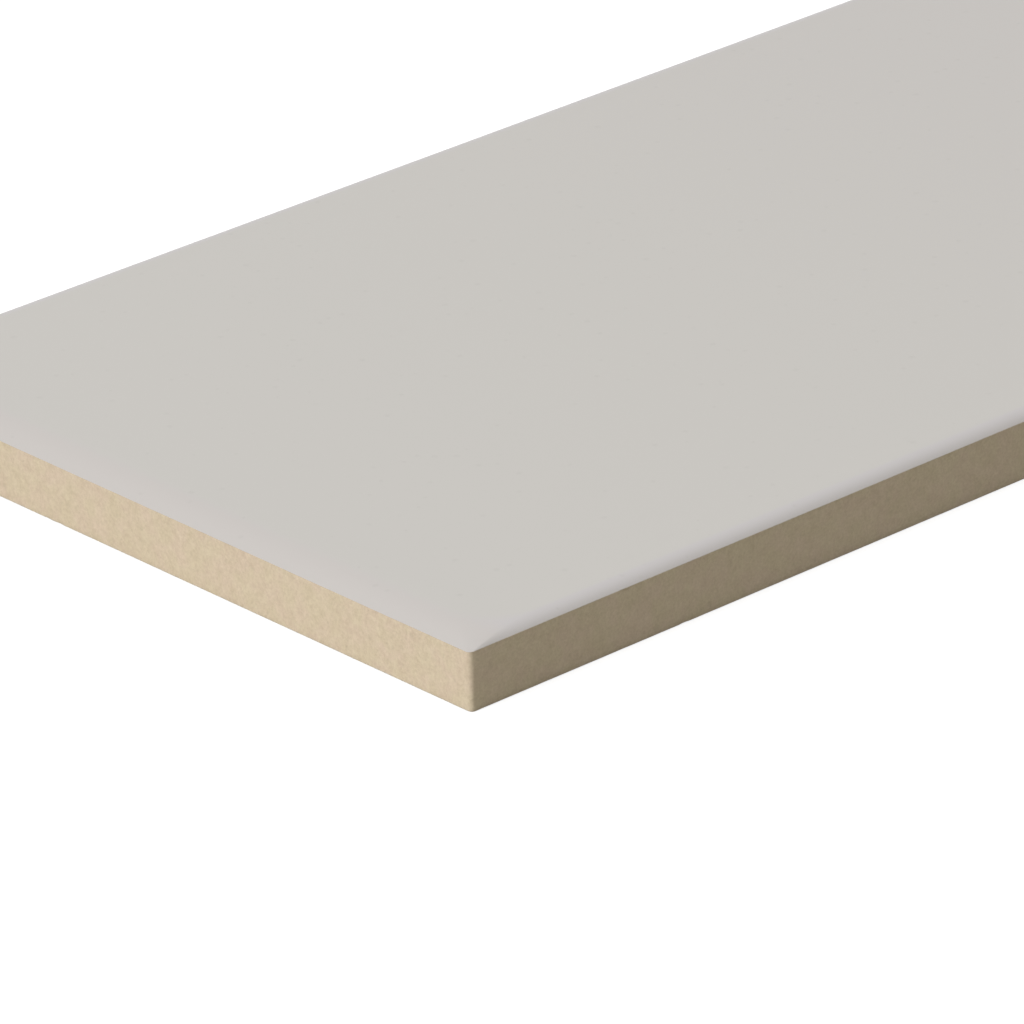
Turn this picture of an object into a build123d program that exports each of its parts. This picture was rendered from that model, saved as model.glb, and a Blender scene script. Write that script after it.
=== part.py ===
"""Ceramic wall tile, 100 x 300 mm: one dry-pressed, glazed and fired piece.

Millimetres, +Z up. The tile lies on its back with the glazed face up. The origin is the middle
of the back, +X runs along the length and +Y across the width.
"""

import os

from build123d import *

# Outline and thickness, over the arris where the face meets the sides
length = 300.0
width = 100.0
thickness = 7.5
corner_radius = 0.65

# Sides: they lean in towards the back, so that the pressed tile leaves its die
side_draft = 1.0
back_edge_radius = 0.15

# Cushioned rim: the face bends down towards the arris, steeper as it goes, over a wider band at the ends
side_rim_width = 2.3
end_rim_width = 5.5
rim_drop = 0.75
rim_power = 3
rim_sections = 5
rim_corner_growth = 0.5

# Waffled back: shallow pockets between ribs, which key the tile into its adhesive
pocket_size = 10.0
pocket_depth = 0.6
pocket_corner_cut = 0.8
pocket_draft = 25.0
rib_width = 2.5
least_border = 6.0

arris_height = thickness - rim_drop
pocket_pitch = pocket_size + rib_width


def rim_height(share):
    """Height of the face at a share of the way from the arris to its flat."""
    return thickness - rim_drop * (1 - share) ** rim_power


def pockets_along(side):
    """Number of whole pockets that fit between the borders of a side."""
    return int((side - 2 * least_border + rib_width) / pocket_pitch)


with BuildPart() as tile:
    # Pressed body, from the arris down to the back
    with BuildSketch(Plane.XY.offset(arris_height)):
        RectangleRounded(length, width, corner_radius)
    extrude(amount=-arris_height, taper=side_draft)
    back_face = tile.faces().sort_by(Axis.Z)[0]
    fillet(back_face.edges(), radius=back_edge_radius)

    # Cushioned face, a smooth skin over outlines that shrink as they rise
    for section in range(rim_sections + 1):
        share = section / rim_sections
        with BuildSketch(Plane.XY.offset(rim_height(share))):
            RectangleRounded(
                length - 2 * end_rim_width * share,
                width - 2 * side_rim_width * share,
                corner_radius + rim_corner_growth * side_rim_width * share,
            )
    loft()

    # Pockets in the back
    with BuildSketch(Plane.XY) as pockets:
        with GridLocations(pocket_pitch, pocket_pitch, pockets_along(length), pockets_along(width)):
            Rectangle(pocket_size, pocket_size)
        chamfer(pockets.vertices(), length=pocket_corner_cut)
    extrude(amount=pocket_depth, taper=pocket_draft, mode=Mode.SUBTRACT)

tile.part.label = "tile"

os.makedirs("parts", exist_ok=True)
export_step(tile.part, "parts/tile.step")
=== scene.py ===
"""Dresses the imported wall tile: glazed face, bare fired sides, waffled back, and the studio round it.

The tile is one fired piece, so it is one closed mesh. Sizes in the classes are millimetres, in the
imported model's frame: the tile lies on its back, +X along its length, +Z out of the glazed face.
"""

import logging
import math
from dataclasses import dataclass, field
from enum import Enum
from functools import cached_property
from typing import Any, Iterable, Sequence

import bpy
import numpy as np
from bpy.types import ID, Material, Mesh, Node, NodeOutputs, NodeTree, Object, World
from bpy.types import NodeSocket as Socket
from mathutils import Matrix, Vector

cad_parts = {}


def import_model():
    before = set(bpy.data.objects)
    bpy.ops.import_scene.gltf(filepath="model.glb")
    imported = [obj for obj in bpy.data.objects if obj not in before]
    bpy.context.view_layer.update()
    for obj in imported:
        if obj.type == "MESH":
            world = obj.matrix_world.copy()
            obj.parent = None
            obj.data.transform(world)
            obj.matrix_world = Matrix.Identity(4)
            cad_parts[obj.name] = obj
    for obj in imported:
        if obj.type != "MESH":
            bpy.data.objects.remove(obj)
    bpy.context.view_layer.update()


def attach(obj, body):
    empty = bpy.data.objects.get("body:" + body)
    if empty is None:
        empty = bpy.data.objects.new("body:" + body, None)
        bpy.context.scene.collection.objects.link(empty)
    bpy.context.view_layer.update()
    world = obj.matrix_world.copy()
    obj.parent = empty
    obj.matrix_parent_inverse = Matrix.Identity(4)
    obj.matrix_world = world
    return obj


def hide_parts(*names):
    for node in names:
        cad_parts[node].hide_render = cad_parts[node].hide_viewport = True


MM = 0.001
BODY = "root"
NODE = "tile"
BAKE_MAP = "OFBake"
WHITE = (1.0, 1.0, 1.0, 1.0)

# Keys round an outline: one unit for each side and one for each corner
KEYS_ROUND = 8
SPOTS_PER_MM = 1000

# End of the Blender type of the socket that takes a value
SOCKET_KINDS = {float: "Float", int: "Int", Material: "Material"}

Colour = tuple[float, float, float]
Point = tuple[float, float, float]
Loop = tuple[np.ndarray, np.ndarray]
Octaves = tuple[float, float]
Ring = list[int]

log = logging.getLogger("wall_tile")


class Coat(Enum):
    """What covers a face of the tile."""

    GLAZE = 0
    BISCUIT = 1


class Zone(Enum):
    """Part of the tile's surface. The sides are told apart by their keys when they are unwrapped."""

    FRONT = 0
    RIGHT = 1
    REAR = 2
    LEFT = 3
    FACE = 4
    BACK = 5
    SIDES = 6


class TreeKind(Enum):
    """Kinds of node group that the script makes."""

    SHADER = "ShaderNodeTree"
    GEOMETRY = "GeometryNodeTree"


@dataclass
class Graph:
    """A node tree with short ways to add nodes and join them.

    Attributes:
        tree: the node tree that is being filled.
    """

    tree: NodeTree

    @classmethod
    def group(cls, name: str, kind: TreeKind, inputs: dict[str, str], outputs: dict[str, str]) -> "Graph":
        """Starts a node group with named sockets.

        Args:
            name: the group's name.
            kind: shader or geometry tree.
            inputs: the end of each input's Blender type, such as Float, by name.
            outputs: the same for the outputs.

        Returns:
            The graph of the new group.
        """
        tree = bpy.data.node_groups.new(name, kind.value)
        for way, sockets in (("INPUT", inputs), ("OUTPUT", outputs)):
            for label, ending in sockets.items():
                tree.interface.new_socket(name=label, in_out=way, socket_type=f"NodeSocket{ending}")
        return cls(tree)

    @classmethod
    def on_mesh(cls, name: str, values: dict[str, Any]) -> "Graph":
        """Starts a geometry group that changes a mesh.

        Args:
            name: the group's name.
            values: what its inputs beside the mesh will be given, by name.

        Returns:
            The graph of the new group.
        """
        kinds = {label: SOCKET_KINDS[type(value)] for label, value in values.items()}
        mesh = {"Geometry": "Geometry"}
        return cls.group(name, TreeKind.GEOMETRY, mesh | kinds, mesh)

    @classmethod
    def of(cls, owner: Material | World) -> "Graph":
        """Starts the node tree of a material or a world.

        Args:
            owner: the material or the world.

        Returns:
            The graph of its empty tree.
        """
        owner.use_nodes = True
        owner.node_tree.nodes.clear()
        return cls(owner.node_tree)

    def add(self, kind: str, feeds: dict[Any, Any] | None = None, **settings: Any) -> Node:
        """Adds a node, sets it up and joins its inputs.

        Args:
            kind: the node's Blender type.
            feeds: input name or index to a socket that feeds it or a plain value.
            settings: properties of the node.

        Returns:
            The new node.
        """
        node = self.tree.nodes.new(kind)
        for key, value in settings.items():
            setattr(node, key, value)
        for key, value in (feeds or {}).items():
            if isinstance(value, Socket):
                self.tree.links.new(value, node.inputs[key])
            else:
                node.inputs[key].default_value = value
        return node

    def out(self, kind: str, feeds: dict[Any, Any] | None = None, **settings: Any) -> Socket:
        """First output of a new node, which is added in the same way."""
        return self.add(kind, feeds, **settings).outputs[0]

    def given(self) -> NodeOutputs:
        """What the group is given, by input name."""
        return self.add("NodeGroupInput").outputs

    def shared(self, group: NodeTree, feeds: dict[str, Any]) -> NodeOutputs:
        """Outputs of a shared group that is placed in this tree."""
        return self.add("ShaderNodeGroup", feeds, node_tree=group).outputs

    def place(self) -> Socket:
        """The place on the piece, in millimetres."""
        place = self.add("ShaderNodeTexCoord").outputs["Object"]
        return self.vector("MULTIPLY", place, (1 / MM,) * 3)

    def seen(self) -> Socket:
        """Tells what the camera sees from what only lights the tile.

        Returns:
            1 for rays from the camera, straight, mirrored or through glass, and 0 for others.
        """
        path = self.add("ShaderNodeLightPath").outputs
        rays = self.math("MAXIMUM", path["Is Camera Ray"], path["Is Glossy Ray"])
        return self.math("MAXIMUM", rays, path["Is Transmission Ray"])

    def math(self, operation: str, a: Any, b: Any = 0.0, c: Any = 0.0) -> Socket:
        """Result of a Math node of up to three sockets or numbers."""
        return self.out("ShaderNodeMath", {0: a, 1: b, 2: c}, operation=operation)

    def vector(self, operation: str, a: Any, b: Any) -> Socket:
        """Result of a Vector Math node, with b as the scale where it scales."""
        second = "Scale" if operation == "SCALE" else 1
        return self.out("ShaderNodeVectorMath", {0: a, second: b}, operation=operation)

    def ramp(self, value: Any, low: Any, high: Any, to: Sequence[Any] = (0.0, 1.0)) -> Socket:
        """Maps a value smoothly to a range.

        Args:
            value: socket to map.
            low: value that gives the first end.
            high: value that gives the second end.
            to: the two ends.

        Returns:
            The result's socket.
        """
        feeds = {"Value": value, "From Min": low, "From Max": high, "To Min": to[0], "To Max": to[1]}
        node = self.add("ShaderNodeMapRange", feeds, interpolation_type="SMOOTHSTEP", clamp=True)
        return node.outputs["Result"]

    def blend(self, factor: Any, a: Any, b: Any, way: str = "MIX") -> Socket:
        """Colour between a and b, or another blend of the two."""
        feeds = {0: factor, 6: a, 7: b}
        return self.add("ShaderNodeMix", feeds, data_type="RGBA", blend_type=way).outputs[2]

    def tint(self, base: Any, red: Any, green: Any, blue: Any) -> Socket:
        """A colour whose three parts are multiplied."""
        factors = self.out("ShaderNodeCombineColor", {0: red, 1: green, 2: blue})
        return self.blend(1.0, base, factors, "MULTIPLY")

    def noise(self, place: Socket, size: Socket, octaves: Octaves) -> Socket:
        """Adds a noise whose blotches are about a given size.

        Args:
            place: the place.
            size: blotch size, in the place's unit.
            octaves: number of octaves above the first, and the weight of the finer ones.

        Returns:
            The noise value's socket, about 0.5 on average.
        """
        scale = self.math("DIVIDE", 1.0, size)
        feeds = {"Vector": place, "Scale": scale, "Detail": octaves[0], "Roughness": octaves[1]}
        return self.out("ShaderNodeTexNoise", feeds)


def rgba(colour: Colour) -> tuple[float, float, float, float]:
    """Colour with full alpha."""
    return (*colour, 1.0)


def put(name: str, data: ID) -> Object:
    """Puts an object in the scene.

    Args:
        name: its name.
        data: its mesh, light or camera.

    Returns:
        The object.
    """
    made = bpy.data.objects.new(name, data)
    bpy.context.scene.collection.objects.link(made)
    return made


def reshape(owner: Object, tree: NodeTree, values: dict[str, Any]) -> Mesh:
    """Runs a geometry tree on an object and keeps its result as a plain mesh.

    Args:
        owner: the object.
        tree: the geometry tree.
        values: the tree's inputs, by name.

    Returns:
        The new mesh, which the object now has.
    """
    modifier = owner.modifiers.new(tree.name, "NODES")
    modifier.node_group = tree
    for socket in tree.interface.items_tree:
        if socket.name in values:
            modifier[socket.identifier] = values[socket.name]
    depsgraph = bpy.context.evaluated_depsgraph_get()
    depsgraph.update()
    made = bpy.data.meshes.new_from_object(owner.evaluated_get(depsgraph), depsgraph=depsgraph)
    owner.modifiers.clear()
    owner.data = made
    return made


@dataclass
class Effects:
    """Shader node groups that more than one finish uses, each built once.

    Attributes:
        cloud_octaves: octaves of the clouds above the first, and the weight of the finer ones.
        grain_octaves: the same for the grain.
        ragged_octaves: octaves of the specks' uneven shape.
        least_speck: size of the smallest speck, in radii.
        speck_core: how near to its middle a speck is full, from 0 at its edge to 1.
    """

    cloud_octaves: Octaves = (3.0, 0.55)
    grain_octaves: Octaves = (4.0, 0.65)
    ragged_octaves: float = 1.0
    least_speck: float = 0.5
    speck_core: float = 0.7

    @cached_property
    def mottle(self) -> NodeTree:
        """Soft clouds and fine grain of a fired surface.

        Returns:
            A group with inputs Place, Cloud Size and Grain Size (millimetres) and outputs Cloud and
            Grain, each about -1 to 1.
        """
        inputs = {"Place": "Vector", "Cloud Size": "Float", "Grain Size": "Float"}
        graph = Graph.group("fired_mottle", TreeKind.SHADER, inputs, {"Cloud": "Float", "Grain": "Float"})
        given = graph.given()
        noises = {
            "Cloud": graph.noise(given["Place"], given["Cloud Size"], self.cloud_octaves),
            "Grain": graph.noise(given["Place"], given["Grain Size"], self.grain_octaves),
        }
        centred = {name: graph.math("MULTIPLY_ADD", noise, 2.0, -1.0) for name, noise in noises.items()}
        graph.add("NodeGroupOutput", centred)
        return graph.tree

    @cached_property
    def specks(self) -> NodeTree:
        """Sparse specks of uneven shape, such as pinholes and coarse grains.

        Returns:
            A group with inputs Place, Spacing and Radius (millimetres) and Share, the part of the
            places that hold a speck, and the output Speck, 1 in the middle of one.
        """
        inputs = {"Place": "Vector", "Spacing": "Float", "Radius": "Float", "Share": "Float"}
        graph = Graph.group("fired_specks", TreeKind.SHADER, inputs, {"Speck": "Float"})
        place, spacing, radius, share = list(graph.given())[:4]
        fine = graph.math("DIVIDE", 1.0, radius)
        feeds = {"Vector": place, "Scale": fine, "Detail": self.ragged_octaves}
        ragged = graph.add("ShaderNodeTexNoise", feeds).outputs["Color"]
        moved = graph.vector("ADD", place, graph.vector("SCALE", ragged, radius))
        feeds = {"Vector": moved, "Scale": graph.math("DIVIDE", 1.0, spacing)}
        cells = graph.add("ShaderNodeTexVoronoi", feeds, feature="F1").outputs
        chance, size, _ = graph.add("ShaderNodeSeparateColor", {0: cells["Color"]}).outputs
        away = graph.math("MULTIPLY", cells["Distance"], spacing)
        reach = graph.math("MULTIPLY", radius, graph.math("ADD", size, self.least_speck))
        near = graph.math("SUBTRACT", 1.0, graph.math("DIVIDE", away, reach))
        held = graph.math("LESS_THAN", chance, share)
        speck = graph.math("MULTIPLY", graph.ramp(near, 0.0, self.speck_core), held)
        graph.add("NodeGroupOutput", {"Speck": speck})
        return graph.tree


@dataclass(frozen=True)
class Specks:
    """One kind of sparse specks in a finish.

    Attributes:
        tone: their colour.
        mix: how strongly it shows.
        spacing: distance between their places.
        radius: their size.
        share: part of the places that hold one.
    """

    tone: Colour
    mix: float
    spacing: float
    radius: float
    share: float

    def mask(self, graph: Graph, effects: Effects, place: Socket) -> Socket:
        """Where the specks lie: 1 in the middle of one."""
        feeds = {"Place": place, "Spacing": self.spacing, "Radius": self.radius, "Share": self.share}
        return graph.shared(effects.specks, feeds)["Speck"]

    def over(self, graph: Graph, mask: Socket, base: Socket) -> Socket:
        """A colour with the specks in it."""
        return graph.blend(graph.math("MULTIPLY", mask, self.mix), base, rgba(self.tone))


@dataclass(frozen=True)
class FiredFinish:
    """What the glaze and the bare clay share.

    Attributes:
        name: the material's name.
        roughness: its mean roughness.
        rough_swing: how far the roughness varies.
        ior: its index of refraction.
        relief_height: height of the fine relief that only its shading has.
    """

    name: str
    roughness: float
    rough_swing: float
    ior: float
    relief_height: float

    def surface(self, graph: Graph, colour: Socket, swing: Socket, relief: Socket) -> None:
        """Joins colour, roughness and relief into the material's surface.

        Args:
            graph: the material's graph.
            colour: the finish's colour.
            swing: variation of its roughness, about -1 to 1.
            relief: its fine relief, about -1 to 1.
        """
        rough = graph.math("MULTIPLY_ADD", swing, self.rough_swing, self.roughness)
        feeds = {"Height": relief, "Strength": 1.0, "Distance": self.relief_height * MM}
        normal = graph.out("ShaderNodeBump", feeds)
        feeds = {"Base Color": colour, "Roughness": rough, "Normal": normal, "IOR": self.ior}
        shader = graph.out("ShaderNodeBsdfPrincipled", feeds)
        graph.add("ShaderNodeOutputMaterial", {"Surface": shader})


@dataclass(frozen=True)
class GlazeFinish(FiredFinish):
    """Pale warm-grey satin glaze with faint pinholes, and painted light and shade over its rim.

    Its tone drifts along the tile from far_from to far_to. Over the bend of the rim it is painted a cooler
    shade along the long sides and a warmer light at the ends, and both go over into a painted shade that
    darkens it towards the arris.
    """

    name: str = "satin_glaze"
    roughness: float = 0.42
    rough_swing: float = 0.03
    ior: float = 1.5
    relief_height: float = 0.0015
    tone: Colour = (0.463, 0.4455, 0.417)
    far_tone: Colour = (0.460, 0.438, 0.416)
    far_from: float = -90.0
    far_to: float = 20.0
    # Painted light and shade over the rim's bend: a cool shade along the long sides and a warm light at
    # the ends, between these shares of the rim and places along X
    side_bend_painted_shade: Colour = (0.460, 0.437, 0.433)
    end_bend_painted_light: Colour = (0.465, 0.4365, 0.415)
    bend_from: float = 0.1
    bend_to: float = 0.4
    ends_from: float = 143.0
    ends_to: float = 147.0
    # Painted shade that darkens the glaze towards the arris, and the power of its fade
    arris_painted_shade: Colour = (0.444, 0.420, 0.401)
    arris_shade_power: float = 3.0
    cloud_size: float = 26.0
    cloud_share: float = 0.008
    peel_size: float = 2.2
    pinholes: Specks = Specks((0.372, 0.355, 0.332), mix=0.22, spacing=1.6, radius=0.36, share=0.3)
    pinhole_sink: float = 4.0

    def build(self, effects: Effects) -> Material:
        """Makes the material.

        Args:
            effects: the shared groups.

        Returns:
            The glaze.
        """
        material = bpy.data.materials.new(self.name)
        graph = Graph.of(material)
        place = graph.place()
        along = graph.add("ShaderNodeSeparateXYZ", {0: place}).outputs["X"]
        rim = graph.add("ShaderNodeAttribute", attribute_name="rim").outputs["Fac"]
        feeds = {"Place": place, "Cloud Size": self.cloud_size, "Grain Size": self.peel_size}
        mottle = graph.shared(effects.mottle, feeds)
        pinhole = self.pinholes.mask(graph, effects, place)
        far = graph.ramp(along, self.far_from, self.far_to)
        ends = graph.ramp(graph.math("ABSOLUTE", along), self.ends_from, self.ends_to)
        # Painted light and shade: the rim's bend gets a cool painted shade along the long sides and a warm
        # painted light at the ends
        painted_bend_mask = graph.ramp(rim, self.bend_from, self.bend_to)
        # Painted shade, darkest at the arris and fading over the rim
        arris = graph.math("POWER", rim, self.arris_shade_power)
        flat_tone = graph.blend(far, rgba(self.tone), rgba(self.far_tone))
        bend_painted_light_and_shade = graph.blend(ends, rgba(self.side_bend_painted_shade), rgba(self.end_bend_painted_light))
        base = graph.blend(arris, graph.blend(painted_bend_mask, flat_tone, bend_painted_light_and_shade), rgba(self.arris_painted_shade))
        shade = graph.math("MULTIPLY_ADD", mottle["Cloud"], self.cloud_share, 1.0)
        colour = self.pinholes.over(graph, pinhole, graph.tint(base, shade, shade, shade))
        relief = graph.math("MULTIPLY_ADD", pinhole, -self.pinhole_sink, mottle["Grain"])
        self.surface(graph, colour, mottle["Cloud"], relief)
        return material


@dataclass(frozen=True)
class BiscuitFinish(FiredFinish):
    """Bare fired clay: beige, finely grained, with darker and paler grains and a wash on the ribs.

    Its hue drifts between rosy and olive. Darker grain is redder, by the two powers. The wash lies
    on the lowest part of the back, in patches. The pale grains and the drift are laid out a step
    away from the rest, so that they don't follow it.
    """

    name: str = "bare_biscuit"
    roughness: float = 0.9
    rough_swing: float = 0.05
    ior: float = 1.4
    relief_height: float = 0.012
    rosy_tone: Colour = (0.704, 0.570, 0.440)
    olive_tone: Colour = (0.690, 0.578, 0.423)
    drift_size: float = 2.6
    drift_swing: float = 0.35
    cloud_size: float = 0.9
    cloud_weight: float = 0.12
    cloud_relief: float = 0.8
    grain_size: float = 0.32
    grain_weight: float = 0.23
    red_power: float = 0.85
    blue_power: float = 1.2
    dark: Specks = Specks((0.430, 0.355, 0.250), mix=0.16, spacing=1.5, radius=0.36, share=0.2)
    pale: Specks = Specks((0.770, 0.660, 0.490), mix=0.3, spacing=1.2, radius=0.38, share=0.35)
    wash_tone: Colour = (0.720, 0.672, 0.590)
    wash_reach: float = 0.25
    wash_from: float = -0.25
    wash_to: float = 0.35
    step_away: Point = (3.7, 9.1, 5.3)

    def build(self, effects: Effects) -> Material:
        """Makes the material.

        Args:
            effects: the shared groups.

        Returns:
            The bare biscuit.
        """
        material = bpy.data.materials.new(self.name)
        graph = Graph.of(material)
        place = graph.place()
        moved = graph.vector("ADD", place, self.step_away)
        height = graph.add("ShaderNodeSeparateXYZ", {0: place}).outputs["Z"]
        feeds = {"Place": place, "Cloud Size": self.cloud_size, "Grain Size": self.grain_size}
        mottle = graph.shared(effects.mottle, feeds)
        feeds = {"Place": moved, "Cloud Size": self.drift_size, "Grain Size": self.cloud_size}
        drift = graph.shared(effects.mottle, feeds)["Cloud"]
        dark = self.dark.mask(graph, effects, place)
        pale = self.pale.mask(graph, effects, moved)
        rosy = graph.ramp(drift, -self.drift_swing, self.drift_swing)
        hue = graph.blend(rosy, rgba(self.olive_tone), rgba(self.rosy_tone))
        uneven = graph.math("MULTIPLY_ADD", mottle["Grain"], self.grain_weight, 1.0)
        uneven = graph.math("MULTIPLY_ADD", mottle["Cloud"], self.cloud_weight, uneven)
        red, blue = (graph.math("POWER", uneven, power) for power in (self.red_power, self.blue_power))
        grained = self.dark.over(graph, dark, graph.tint(hue, red, uneven, blue))
        grained = self.pale.over(graph, pale, grained)
        low = graph.ramp(height, 0.0, self.wash_reach, (1.0, 0.0))
        washed = graph.math("MULTIPLY", low, graph.ramp(drift, self.wash_from, self.wash_to))
        colour = graph.blend(washed, grained, rgba(self.wash_tone))
        relief = graph.math("MULTIPLY_ADD", mottle["Cloud"], self.cloud_relief, mottle["Grain"])
        self.surface(graph, colour, mottle["Grain"], graph.math("SUBTRACT", relief, dark))
        return material


@dataclass(frozen=True)
class FloorFinish:
    """Plain white sheet that shows the tile's soft shadow.

    Attributes:
        name: the material's name.
        tone: its colour as the tile's surroundings.
        seen_tone: its colour as the camera sees it.
        lift: glow that makes it white in the picture.
    """

    name: str = "white_floor"
    tone: Colour = (0.332, 0.330, 0.275)
    seen_tone: Colour = (0.34, 0.34, 0.34)
    lift: float = 0.74

    def build(self) -> Material:
        """Makes the material.

        Returns:
            The floor's white.
        """
        material = bpy.data.materials.new(self.name)
        graph = Graph.of(material)
        plain = graph.out("ShaderNodeBsdfDiffuse", {"Color": rgba(self.tone)})
        shown = graph.out("ShaderNodeBsdfDiffuse", {"Color": rgba(self.seen_tone)})
        glow = graph.out("ShaderNodeEmission", {"Color": WHITE, "Strength": self.lift})
        white = graph.out("ShaderNodeAddShader", {0: shown, 1: glow})
        mixed = graph.out("ShaderNodeMixShader", {0: graph.seen(), 1: plain, 2: white})
        graph.add("ShaderNodeOutputMaterial", {"Surface": mixed})
        return material


@dataclass(frozen=True)
class Steps:
    """Number of edges along each long side, each short side and each corner of an outline."""

    along: int
    across: int
    corner: int = 0


@dataclass(frozen=True)
class Outline:
    """Rounded rectangle round the tile's middle, counter-clockwise from above.

    Attributes:
        half_x: half its length.
        half_y: half its width.
        radius: corner radius; 0 gives square corners of one point each.
        steps: how finely it is divided.
    """

    half_x: float
    half_y: float
    radius: float
    steps: Steps

    def loop(self) -> Loop:
        """Points of the outline.

        Returns:
            The points' X and Y, and their keys: 0 to 8, a side and then a corner for each unit.
        """
        points: list[np.ndarray] = []
        keys: list[float] = []
        along = (self.half_x - self.radius, self.half_y, self.steps.along)
        across = (self.half_y - self.radius, self.half_x, self.steps.across)
        for side, (run, reach, count) in enumerate((along, across) * 2):
            turn = side * math.pi / 2
            ahead = np.array([round(math.cos(turn)), round(math.sin(turn))])
            out = np.array([ahead[1], -ahead[0]])
            for step in range(0 if self.radius else 1, count):
                points.append(ahead * (-run + 2 * run * step / count) + out * reach)
                keys.append(2 * side + step / count)
            if not self.radius:
                points.append(ahead * run + out * reach)
                keys.append(2 * side + 1.5)
                continue
            centre = ahead * run + out * (reach - self.radius)
            for step in range(self.steps.corner):
                angle = turn - math.pi / 2 + math.pi / 2 * step / self.steps.corner
                points.append(centre + self.radius * np.array([math.cos(angle), math.sin(angle)]))
                keys.append(2 * side + 1 + step / self.steps.corner)
        return np.array(points), np.array(keys)


@dataclass
class Skin:
    """A surface that is grown row by row. A row, or ring, is a closed list of vertex numbers.

    Attributes:
        points: vertices, in millimetres.
        keys: each vertex's key along its row, or -1.
        fall: each vertex's distance down the tile's section from the arris.
        rim: how far each vertex lies over the rim, 0 on the flat and 1 at the arris.
        faces: vertex numbers of each face, counter-clockwise from outside.
        zones: the part of the tile that each face is in.
    """

    points: list[Point] = field(default_factory=list)
    keys: list[float] = field(default_factory=list)
    fall: list[float] = field(default_factory=list)
    rim: list[float] = field(default_factory=list)
    faces: list[tuple[int, ...]] = field(default_factory=list)
    zones: list[Zone] = field(default_factory=list)

    def ring(self, outline: Outline, height: Any, fall: float = 0.0, rim: float = 0.0) -> Ring:
        """Adds a row of vertices.

        Args:
            outline: the row's outline.
            height: its height, or one for each point.
            fall: its distance down the section from the arris.
            rim: how far it lies over the rim.

        Returns:
            The new row.
        """
        flat, keys = outline.loop()
        start = len(self.points)
        heights = np.broadcast_to(height, len(flat))
        self.points += map(tuple, np.column_stack((flat, heights)).tolist())
        self.keys += keys.tolist()
        self.fall += [fall] * len(flat)
        self.rim += [rim] * len(flat)
        return list(range(start, len(self.points)))

    def grow(self, last: Ring, zone: Zone, *row: Any, **carried: float) -> Ring:
        """Adds a row and joins it to the last one.

        Args:
            last: the last row.
            zone: part of the tile that the strip between them is in.
            row: outline and height of the new row.
            carried: its fall or rim.

        Returns:
            The new row.
        """
        ring = self.ring(*row, **carried)
        self.bridge(last, ring, zone)
        return ring

    def face(self, corners: Sequence[int], zone: Zone) -> None:
        """Adds a face from its vertices, counter-clockwise from outside."""
        self.faces.append(tuple(corners))
        self.zones.append(zone)

    def bridge(self, inner: Ring, outer: Ring, zone: Zone) -> None:
        """Joins two rows, with quads where they match and triangles where they don't.

        Args:
            inner: the row nearer to the middle of the tile's face.
            outer: the next row towards the middle of its back.
            zone: part of the tile that the strip between them is in.
        """
        a, b = [*inner, inner[0]], [*outer, outer[0]]
        if len(a) == len(b):
            for k in range(len(inner)):
                self.face((a[k], b[k], b[k + 1], a[k + 1]), zone)
            return
        key_a, key_b = ([self.keys[k] for k in row] for row in (a, b))
        key_a[-1] += KEYS_ROUND
        key_b[-1] += KEYS_ROUND
        i = j = 0
        while i < len(a) - 1 or j < len(b) - 1:
            if j == len(b) - 1 or (i < len(a) - 1 and key_a[i + 1] <= key_b[j + 1]):
                self.face((a[i], b[j], a[i + 1]), zone)
                i += 1
            else:
                self.face((a[i], b[j], b[j + 1]), zone)
                j += 1

    def sheet(self, outline: Outline, height: float, zone: Zone) -> Ring:
        """Adds a flat grid of quads, which looks up on the face and down on the back.

        Args:
            outline: the grid's edge, with square corners.
            height: its height.
            zone: part of the tile that it is in.

        Returns:
            The row of vertices round its edge.
        """
        edge = self.ring(outline, height)
        lookup = self.lookup(edge)
        xs = np.linspace(-outline.half_x, outline.half_x, outline.steps.along + 1)
        ys = np.linspace(-outline.half_y, outline.half_y, outline.steps.across + 1)
        grid = [[self.known(lookup, (float(x), float(y), height)) for x in xs] for y in ys]
        for row, above in zip(grid, grid[1:]):
            for k in range(len(xs) - 1):
                corners = (row[k], row[k + 1], above[k + 1], above[k])
                self.face(corners if zone is Zone.FACE else corners[::-1], zone)
        return edge

    @staticmethod
    def spot(point: Iterable[float]) -> tuple[int, ...]:
        """A point rounded to a thousandth of a millimetre."""
        return tuple(round(v * SPOTS_PER_MM) for v in point)

    def lookup(self, row: Ring) -> dict[tuple[int, ...], int]:
        """Rounded place to vertex, for a row."""
        return {self.spot(self.points[i]): i for i in row}

    def known(self, lookup: dict[tuple[int, ...], int], point: Point) -> int:
        """Vertex at a place, added if there is none.

        Args:
            lookup: rounded place to vertex, which grows.
            point: the place.

        Returns:
            The vertex's number.
        """
        spot = self.spot(point)
        if spot not in lookup:
            lookup[spot] = len(self.points)
            self.points.append(point)
            self.keys.append(-1.0)
            self.fall.append(0.0)
            self.rim.append(0.0)
        return lookup[spot]

    def graft(self, mesh: Mesh, seam: Ring, zone: Zone) -> None:
        """Sews in a patch that was made apart.

        Args:
            mesh: the patch, in metres.
            seam: the row of vertices that its edge meets.
            zone: part of the tile that it is in.
        """
        lookup = self.lookup(seam)
        places = np.empty(len(mesh.vertices) * 3, np.float32)
        mesh.vertices.foreach_get("co", places)
        spots = (places.reshape(-1, 3) / MM).astype(float).tolist()
        number = [self.known(lookup, (x, y, z)) for x, y, z in spots]
        for polygon in mesh.polygons:
            self.face([number[i] for i in polygon.vertices], zone)

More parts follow.
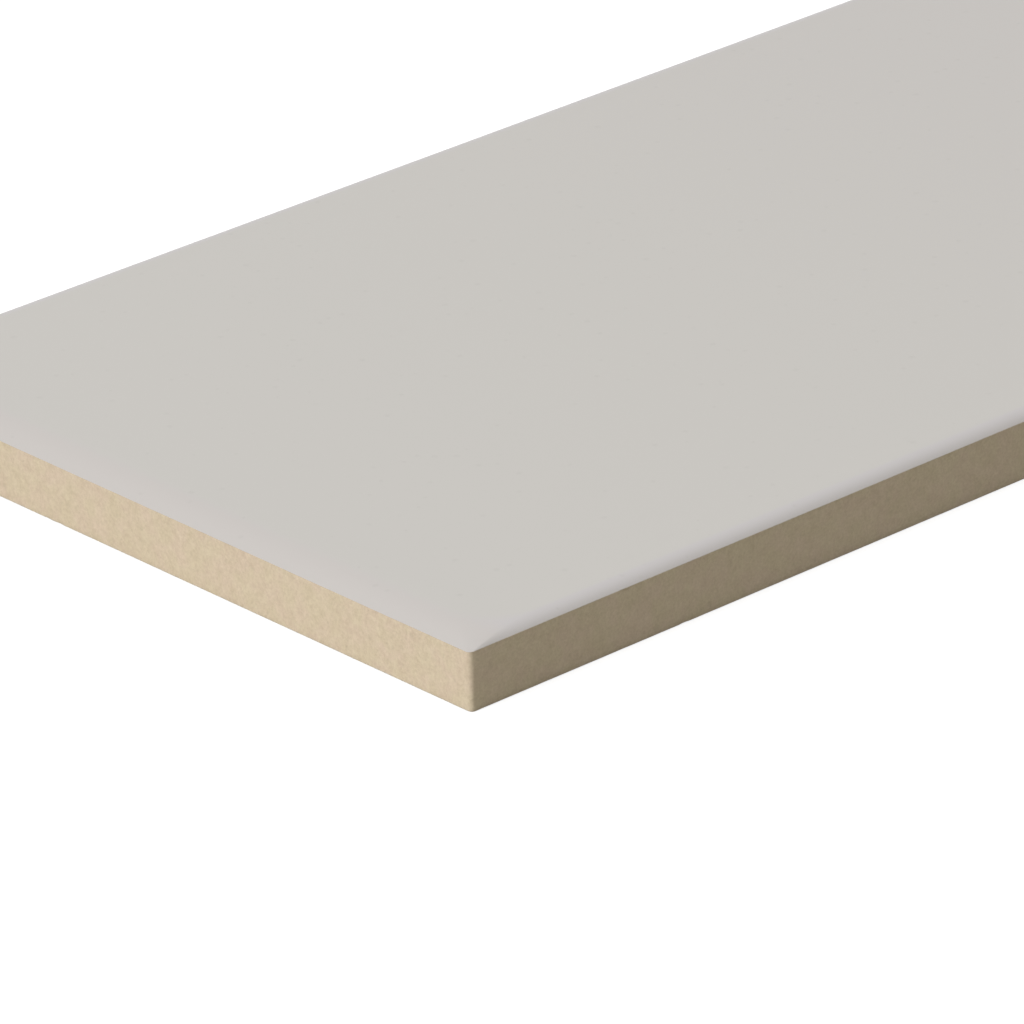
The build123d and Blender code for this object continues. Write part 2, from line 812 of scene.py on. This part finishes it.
    def mesh(self, name: str) -> Mesh:
        """Makes the skin a mesh, in metres.

        Args:
            name: the mesh's name.

        Returns:
            The mesh, with the attributes coat, rim and bare, which is 1 away from the glaze.
        """
        made = bpy.data.meshes.new(name)
        made.from_pydata((np.array(self.points) * MM).tolist(), [], self.faces)
        bare = np.ones(len(self.points), np.float32)
        for corners, zone in zip(self.faces, self.zones):
            if zone is Zone.FACE:
                bare[list(corners)] = 0.0
        coats = [(Coat.GLAZE if zone is Zone.FACE else Coat.BISCUIT).value for zone in self.zones]
        made.attributes.new("coat", "INT", "FACE").data.foreach_set("value", coats)
        made.attributes.new("rim", "FLOAT", "POINT").data.foreach_set("value", self.rim)
        made.attributes.new("bare", "FLOAT", "POINT").data.foreach_set("value", bare)
        made.shade_smooth()
        return made


@dataclass(frozen=True)
class WaffleBack:
    """Ribs and shallow pockets of the back, one cell repeated over a grid."""

    pocket_size: float = 10.0
    pocket_depth: float = 0.6
    pocket_draft: float = 25.0
    rib_width: float = 2.5
    along: int = 23
    across: int = 7

    # Corner radius of a pocket at its edge, what it loses for each millimetre further in, and its least
    pocket_corner: float = 1.35
    corner_shrink: float = 0.6
    least_corner: float = 0.6

    # Radii between rib, wall and floor, and the strips beside them that stay flat
    lip_radius: float = 0.18
    root_radius: float = 0.25
    rib_support: float = 0.25
    floor_support: float = 0.35

    # Mesh: how far in the floor's plain grid lies, the edges along each form, and the joining distance
    floor_inset: float = 2.4
    edge_steps: int = 4
    side_steps: int = 3
    corner_steps: int = 3
    bend_steps: int = 3
    floor_steps: int = 3
    weld: float = 0.005

    @property
    def pitch(self) -> float:
        """Distance from pocket to pocket."""
        return self.pocket_size + self.rib_width

    def border(self) -> Outline:
        """Outline of the whole patch of cells."""
        steps = Steps(self.along * self.edge_steps, self.across * self.edge_steps)
        return Outline(self.along * self.pitch / 2, self.across * self.pitch / 2, 0.0, steps)

    def section(self) -> list[tuple[float, float]]:
        """Half section of a pocket.

        Returns:
            Pairs of the distance in from the pocket's edge on the back's plane and the height.
        """
        lean = math.radians(self.pocket_draft)
        steep = math.pi / 2 - lean
        lip = self.lip_radius * math.tan(steep / 2)
        root = self.pocket_depth * math.tan(lean) + self.root_radius * math.tan(steep / 2)
        angles = [steep * step / self.bend_steps for step in range(self.bend_steps + 1)]
        rows = [(-lip - self.rib_support, 0.0)]
        for angle in angles:
            rows.append((self.lip_radius * math.sin(angle) - lip, self.lip_radius * (1 - math.cos(angle))))
        for angle in reversed(angles):
            rise = self.root_radius * (1 - math.cos(angle))
            rows.append((root - self.root_radius * math.sin(angle), self.pocket_depth - rise))
        rows.append((root + self.floor_support, self.pocket_depth))
        return rows

    def cell(self) -> Mesh:
        """One pocket with half of each rib round it.

        Returns:
            The cell's mesh.
        """
        skin = Skin()
        half = self.pitch / 2
        last = skin.ring(Outline(half, half, 0.0, Steps(self.edge_steps, self.edge_steps)), 0.0)
        steps = Steps(self.side_steps, self.side_steps, self.corner_steps)
        for inset, height in self.section():
            side = self.pocket_size / 2 - inset
            radius = max(self.pocket_corner - inset * self.corner_shrink, self.least_corner)
            last = skin.grow(last, Zone.BACK, Outline(side, side, radius, steps), height)
        side = self.pocket_size / 2 - self.floor_inset
        floor = Outline(side, side, 0.0, Steps(self.floor_steps, self.floor_steps))
        skin.bridge(last, skin.sheet(floor, self.pocket_depth, Zone.BACK), Zone.BACK)
        return skin.mesh("waffle_cell")

    @staticmethod
    def tree(values: dict[str, Any]) -> NodeTree:
        """Geometry tree that repeats the cell over the back.

        Args:
            values: what its inputs will be given, by name.

        Returns:
            The tree.
        """
        graph = Graph.on_mesh("waffle_grid", values)
        given = graph.given()
        along, across = given["Along"], given["Across"]
        size_x, size_y = (
            graph.math("MULTIPLY", graph.math("SUBTRACT", count, 1.0), given["Pitch"])
            for count in (along, across)
        )
        feeds = {"Size X": size_x, "Size Y": size_y, "Vertices X": along, "Vertices Y": across}
        points = graph.add("GeometryNodeMeshGrid", feeds).outputs["Mesh"]
        feeds = {"Points": points, "Instance": given["Geometry"]}
        cells = graph.out("GeometryNodeInstanceOnPoints", feeds)
        plain = graph.out("GeometryNodeRealizeInstances", {0: cells})
        whole = graph.out("GeometryNodeMergeByDistance", {0: plain, "Distance": given["Weld"]})
        dressed = graph.out("GeometryNodeSetMaterial", {"Geometry": whole, "Material": given["Biscuit"]})
        graph.add("NodeGroupOutput", {"Geometry": dressed})
        return graph.tree

    def build(self, biscuit: Material) -> Mesh:
        """Makes the patch of cells.

        Args:
            biscuit: the bare clay's finish.

        Returns:
            The patch as a plain mesh.
        """
        values = {
            "Pitch": self.pitch * MM,
            "Along": self.along,
            "Across": self.across,
            "Weld": self.weld * MM,
            "Biscuit": biscuit,
        }
        owner = put("waffle_patch", self.cell())
        made = reshape(owner, self.tree(values), values)
        bpy.data.objects.remove(owner)
        return made


@dataclass(frozen=True)
class FiredRelief:
    """Unevenness that firing leaves: grain and pits in the bare clay, a slow wave in the glaze.

    The octaves are the number above the first and the weight of the finer ones. The density of the
    pits is their number in a square metre.
    """

    grain_size: float = 1.3
    grain_depth: float = 0.03
    grain_octaves: Octaves = (3.0, 0.6)
    pit_density: float = 11000.0
    pit_radius: float = 0.65
    pit_depth: float = 0.06
    wave_size: float = 38.0
    wave_depth: float = 0.02
    wave_octaves: Octaves = (1.0, 0.4)
    seed: int = 7

    def tree(self, values: dict[str, Any]) -> NodeTree:
        """Geometry tree that sinks the surface a little and gives each face its finish.

        Args:
            values: what its inputs will be given, by name.

        Returns:
            The tree.
        """
        graph = Graph.on_mesh("fired_relief", values)
        given = graph.given()
        place = graph.out("GeometryNodeInputPosition")
        normal = graph.out("GeometryNodeInputNormal")
        bare = graph.out("GeometryNodeInputNamedAttribute", {"Name": "bare"}, data_type="FLOAT")
        coat = graph.out("GeometryNodeInputNamedAttribute", {"Name": "coat"}, data_type="INT")
        unglazed = graph.math("GREATER_THAN", coat, (Coat.GLAZE.value + Coat.BISCUIT.value) / 2)
        feeds = {
            "Mesh": given["Geometry"],
            "Selection": unglazed,
            "Density": given["Pit Density"],
            "Seed": given["Seed"],
        }
        pits = graph.add("GeometryNodeDistributePointsOnFaces", feeds, distribute_method="RANDOM")
        feeds = {"Geometry": pits.outputs["Points"]}
        away = graph.add("GeometryNodeProximity", feeds, target_element="POINTS").outputs["Distance"]
        hollow = graph.ramp(away, 0.0, given["Pit Radius"], (given["Pit Depth"], 0.0))
        grain = graph.noise(place, given["Grain Size"], self.grain_octaves)
        clay = graph.math("MULTIPLY_ADD", grain, given["Grain Depth"], hollow)
        wave = graph.noise(place, given["Wave Size"], self.wave_octaves)
        glaze = graph.math("MULTIPLY", wave, given["Wave Depth"])
        covered = graph.math("MULTIPLY", glaze, graph.math("SUBTRACT", 1.0, bare))
        sunk = graph.math("MULTIPLY_ADD", clay, bare, covered)
        inward = graph.vector("SCALE", normal, graph.math("MULTIPLY", sunk, -1.0))
        uneven = graph.out("GeometryNodeSetPosition", {"Geometry": given["Geometry"], "Offset": inward})
        plain = graph.out("GeometryNodeRealizeInstances", {0: uneven})
        glazed = graph.out("GeometryNodeSetMaterial", {"Geometry": plain, "Material": given["Glaze"]})
        feeds = {"Geometry": glazed, "Selection": unglazed, "Material": given["Biscuit"]}
        dressed = graph.out("GeometryNodeSetMaterial", feeds)
        graph.add("NodeGroupOutput", {"Geometry": dressed})
        return graph.tree

    def apply(self, owner: Object, glaze: Material, biscuit: Material) -> None:
        """Runs the tree on the tile and keeps its result as a plain mesh.

        Args:
            owner: the tile's object.
            glaze: finish of the glazed faces.
            biscuit: finish of the bare faces.
        """
        values = {
            "Grain Size": self.grain_size * MM,
            "Grain Depth": self.grain_depth * MM,
            "Pit Density": self.pit_density,
            "Pit Radius": self.pit_radius * MM,
            "Pit Depth": self.pit_depth * MM,
            "Wave Size": self.wave_size * MM,
            "Wave Depth": self.wave_depth * MM,
            "Seed": self.seed,
            "Glaze": glaze,
            "Biscuit": biscuit,
        }
        reshape(owner, self.tree(values), values)


@dataclass(frozen=True)
class Atlas:
    """Flat layout of the tile's surface, one island for each zone, in a square sheet."""

    sheet: float = 312.0
    gap: float = 6.0

    def origins(self, tile: "Tile") -> dict[Zone, tuple[float, float]]:
        """Lower left corners of the islands.

        Args:
            tile: the tile that is unwrapped.

        Returns:
            Their places on the sheet, in millimetres.
        """
        strip = tile.thickness + self.gap
        top = 3 * self.gap + 2 * tile.width
        return {
            Zone.FACE: (self.gap, self.gap),
            Zone.BACK: (self.gap, 2 * self.gap + tile.width),
            Zone.FRONT: (self.gap, top),
            Zone.REAR: (self.gap, top + strip),
            Zone.LEFT: (self.gap, top + 2 * strip),
            Zone.RIGHT: (2 * self.gap + tile.width, top + 2 * strip),
        }


@dataclass(frozen=True)
class Tile:
    """The wall tile: its section, its mesh and its dress."""

    length: float = 300.0
    width: float = 100.0
    thickness: float = 7.5
    corner_radius: float = 0.65
    side_draft: float = 1.0
    back_edge_radius: float = 0.15

    # Bend of the face, narrower along the sides than at the ends. Its corner radius grows inwards
    # by so many widths of the side rim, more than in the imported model, as the photograph shows
    side_rim_width: float = 2.3
    end_rim_width: float = 5.5
    rim_drop: float = 0.75
    rim_power: float = 3.0
    rim_corner_growth: float = 3.0

    # Rounded nose of the glaze, the part of the turn from rim to side that it takes, and its lower
    # line, which wavers in waves of so many radians for each millimetre along X and Y
    nose_radius: float = 0.03
    nose_share: float = 0.5
    glaze_waver: float = 0.012
    waver_turns: tuple[tuple[float, float], ...] = ((0.9, 1.7), (0.37, -0.53))

    # Mesh: places of its rows, their divisions, the numbers of strips between them, and the power
    # that gathers the rim's strips towards the arris
    face_inset: float = 9.0
    side_lead: float = 0.15
    border_support: float = 0.2
    face_steps: Steps = Steps(94, 27)
    rim_steps: Steps = Steps(210, 70, 12)
    side_steps: Steps = Steps(620, 206, 6)
    rim_rows: int = 14
    rim_spread: float = 1.5
    nose_rows: int = 2
    side_rows: int = 15
    edge_rows: int = 4

    waffle: WaffleBack = WaffleBack()
    relief: FiredRelief = FiredRelief()
    atlas: Atlas = Atlas()

    @property
    def arris(self) -> float:
        """Height of the arris, where the rim would meet the side."""
        return self.thickness - self.rim_drop

    def outline(self, inset: float, radius: float, steps: Steps) -> Outline:
        """Outline at a distance in from the tile's edge."""
        return Outline(self.length / 2 - inset, self.width / 2 - inset, radius, steps)

    def rim_row(self, share: float) -> tuple[Outline, float]:
        """Outline and height of the face at a share of the way from the arris to its flat.

        Args:
            share: 0 at the arris, 1 at the edge of the flat.

        Returns:
            The outline, and its height.
        """
        outline = Outline(
            self.length / 2 - self.end_rim_width * share,
            self.width / 2 - self.side_rim_width * share,
            self.corner_radius + self.rim_corner_growth * self.side_rim_width * share,
            self.rim_steps,
        )
        return outline, self.thickness - self.rim_drop * (1 - share) ** self.rim_power

    def grow_face(self, skin: Skin) -> Ring:
        """Grows the flat of the face and its cushioned rim.

        Args:
            skin: the tile's skin.

        Returns:
            The last row, at the lower edge of the glaze.
        """
        field_edge = self.outline(self.face_inset, 0.0, self.face_steps)
        last = skin.sheet(field_edge, self.thickness, Zone.FACE)
        slope = math.atan(self.rim_power * self.rim_drop / self.side_rim_width)
        turn = math.pi / 2 - slope
        tangent = self.nose_radius * math.tan(turn / 2)
        start = tangent * math.cos(slope) / self.side_rim_width
        for row in range(self.rim_rows + 1):
            share = start + (1 - start) * (1 - row / self.rim_rows) ** self.rim_spread
            last = skin.grow(last, Zone.FACE, *self.rim_row(share), rim=1 - share)
        for row in range(1, self.nose_rows + 1):
            angle = slope + turn * self.nose_share * row / self.nose_rows
            inset = self.nose_radius * (1 - math.sin(angle))
            height = self.arris - tangent + self.nose_radius * math.cos(angle)
            outline = self.outline(inset, self.corner_radius, self.rim_steps)
            if row == self.nose_rows:
                flat, _ = outline.loop()
                wave = sum(np.sin(flat[:, 0] * x + flat[:, 1] * y) for x, y in self.waver_turns)
                height = height - self.glaze_waver * (1 + wave / 2)
            last = skin.grow(last, Zone.FACE, outline, height, rim=1.0)
        return last

    def grow_sides(self, skin: Skin, last: Ring) -> Ring:
        """Grows the bare sides, the rounded back edge and the plain border of the back.

        Args:
            skin: the tile's skin.
            last: the lower edge of the glaze.

        Returns:
            The row that the waffle is sewn to.
        """
        lean = math.tan(math.radians(self.side_draft))
        top = self.arris - self.side_lead
        bottom = self.back_edge_radius
        foot = (self.arris - bottom) * lean
        for row in range(self.side_rows + 1):
            height = top + (bottom - top) * row / self.side_rows
            inset = (self.arris - height) * lean
            outline = self.outline(inset, self.corner_radius - inset, self.side_steps)
            last = skin.grow(last, Zone.SIDES, outline, height, fall=self.arris - height)
        for row in range(1, self.edge_rows + 1):
            angle = math.pi / 2 * row / self.edge_rows
            inset = foot + self.back_edge_radius * (1 - math.cos(angle))
            height = self.back_edge_radius * (1 - math.sin(angle))
            outline = self.outline(inset, self.corner_radius - foot, self.side_steps)
            last = skin.grow(last, Zone.SIDES, outline, height, fall=self.arris - height + inset - foot)
        inset = foot + self.back_edge_radius + self.border_support
        outline = self.outline(inset, self.corner_radius, self.side_steps)
        support = skin.grow(last, Zone.BACK, outline, 0.0)
        return skin.grow(support, Zone.BACK, self.waffle.border(), 0.0)

    def unwrap(self, skin: Skin, mesh: Mesh) -> None:
        """Lays the tile's surface out flat, so that each patch keeps its size.

        Args:
            skin: the tile's skin.
            mesh: its mesh, which gets the map.
        """
        straight = (self.length - 2 * self.corner_radius, self.width - 2 * self.corner_radius)
        arc = math.pi / 2 * self.corner_radius
        half_round = KEYS_ROUND / 2
        origins = self.atlas.origins(self)
        places: list[tuple[float, float]] = []
        for corners, zone in zip(skin.faces, skin.zones):
            if zone is Zone.SIDES:
                keys = [skin.keys[i] for i in corners]
                if max(keys) - min(keys) > half_round:
                    keys = [key + KEYS_ROUND if key < half_round else key for key in keys]
                side = min(int(min(keys) // 2), 3)
                left, low = origins[Zone(side)]
                for i, key in zip(corners, keys):
                    local = key - 2 * side
                    run = min(local, 1.0) * straight[side % 2] + max(local - 1.0, 0.0) * arc
                    places.append((left + run, low + skin.fall[i]))
                continue
            left, low = origins[zone]
            for i in corners:
                x, y = skin.points[i][0] + self.length / 2, skin.points[i][1] + self.width / 2
                places.append((left + (x if zone is Zone.FACE else self.length - x), low + y))
        layer = mesh.uv_layers.new(name=BAKE_MAP)
        layer.uv.foreach_set("vector", (np.array(places, np.float32) / self.atlas.sheet).ravel())

    def build(self, glaze: Material, biscuit: Material) -> Object:
        """Makes the dressed tile.

        Args:
            glaze: finish of the face.
            biscuit: finish of the sides and the back.

        Returns:
            The tile's object.
        """
        skin = Skin()
        seam = self.grow_sides(skin, self.grow_face(skin))
        skin.graft(self.waffle.build(biscuit), seam, Zone.BACK)
        mesh = skin.mesh("glazed_tile")
        self.unwrap(skin, mesh)
        piece = put("glazed_tile", mesh)
        self.relief.apply(piece, glaze, biscuit)
        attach(piece, BODY)
        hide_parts(NODE)
        return piece


@dataclass(frozen=True)
class Lamp:
    """A soft square light that looks at the tile.

    Attributes:
        name: its name.
        azimuth: where it stands, in degrees from -Y towards +X.
        elevation: its height above the horizon, in degrees.
        level: how much of a full white it gives a surface that faces it.
        side: its size in metres.
        away: its distance in metres.
    """

    name: str
    azimuth: float
    elevation: float
    level: float
    side: float = 1.4
    away: float = 2.2

    def build(self) -> None:
        """Makes the light."""
        data = bpy.data.lights.new(self.name, "AREA")
        data.shape = "SQUARE"
        data.size = self.side
        data.energy = self.level * math.pi**2 * self.away**2
        turn, rise = math.radians(self.azimuth), math.radians(self.elevation)
        flat = math.cos(rise)
        stand = Vector((flat * math.sin(turn), -flat * math.cos(turn), math.sin(rise)))
        aim = stand.to_track_quat("Z", "Y").to_matrix().to_4x4()
        lamp = put(self.name, data)
        lamp.matrix_world = Matrix.Translation(stand * self.away) @ aim
        lamp.visible_camera = False


@dataclass(frozen=True)
class Studio:
    """Floor, light and camera round the tile. The floor's side is in metres."""

    floor_side: float = 12.0
    sky_level: float = 0.16
    lamps: tuple[Lamp, ...] = (
        Lamp("key_light", azimuth=-91.0, elevation=37.0, level=0.82),
        Lamp("top_light", azimuth=0.0, elevation=89.0, level=0.56),
    )

    # Camera: its place, its turn from +X towards +Y, down and round its own axis, in degrees, its lens
    # and sensor, and its nearest and farthest distance in metres
    eye: Point = (-651.19, -622.26, 371.49)
    heading: float = 48.436
    dip: float = 24.672
    roll: float = 1.777
    lens: float = 298.15
    sensor: float = 36.0
    clip: tuple[float, float] = (0.01, 100.0)

    def light_world(self) -> None:
        """Sets the even light from all round, behind a white background."""
        world = bpy.data.worlds.new("studio")
        bpy.context.scene.world = world
        graph = Graph.of(world)
        white, ambient = (
            graph.out("ShaderNodeBackground", {"Color": WHITE, "Strength": strength})
            for strength in (1.0, self.sky_level)
        )
        mixed = graph.out("ShaderNodeMixShader", {0: graph.seen(), 1: ambient, 2: white})
        graph.add("ShaderNodeOutputWorld", {"Surface": mixed})

    def lay_floor(self, white: Material) -> None:
        """Lays the floor under the tile.

        Args:
            white: the floor's finish.
        """
        half = self.floor_side / 2
        mesh = bpy.data.meshes.new("floor")
        corners = [(-half, -half, 0.0), (half, -half, 0.0), (half, half, 0.0), (-half, half, 0.0)]
        mesh.from_pydata(corners, [], [(0, 1, 2, 3)])
        mesh.materials.append(white)
        put("floor", mesh)

    def set_camera(self) -> None:
        """Sets the camera at the photograph's place."""
        yaw, pitch, roll = (math.radians(v) for v in (self.heading, self.dip, self.roll))
        flat = math.cos(pitch)
        ahead = Vector((flat * math.cos(yaw), flat * math.sin(yaw), -math.sin(pitch)))
        level = ahead.cross(Vector((0.0, 0.0, 1.0))).normalized()
        sink = ahead.cross(level)
        right = math.cos(roll) * level + math.sin(roll) * sink
        up = math.sin(roll) * level - math.cos(roll) * sink
        data = bpy.data.cameras.new("camera")
        data.lens = self.lens
        data.sensor_width = self.sensor
        data.clip_start, data.clip_end = self.clip
        camera = put("camera", data)
        turn = Matrix((right, up, -ahead)).transposed().to_4x4()
        camera.matrix_world = Matrix.Translation(Vector(self.eye) * MM) @ turn
        bpy.context.scene.camera = camera

    def build(self, white: Material) -> None:
        """Makes the studio.

        Args:
            white: the floor's finish.
        """
        bpy.context.scene.view_settings.view_transform = "Standard"
        self.light_world()
        self.lay_floor(white)
        for lamp in self.lamps:
            lamp.build()
        self.set_camera()


def main() -> None:
    """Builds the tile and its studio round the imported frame."""
    logging.basicConfig(level=logging.INFO, format="%(name)s: %(message)s")
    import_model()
    effects = Effects()
    piece = Tile().build(GlazeFinish().build(effects), BiscuitFinish().build(effects))
    triangles = sum(len(p.vertices) - 2 for p in piece.data.polygons)
    log.info("%s: %d vertices, %d triangles", piece.name, len(piece.data.vertices), triangles)
    Studio().build(FloorFinish().build())
    log.info("studio: floor, lights and camera set")


if __name__ == "__main__":
    main()
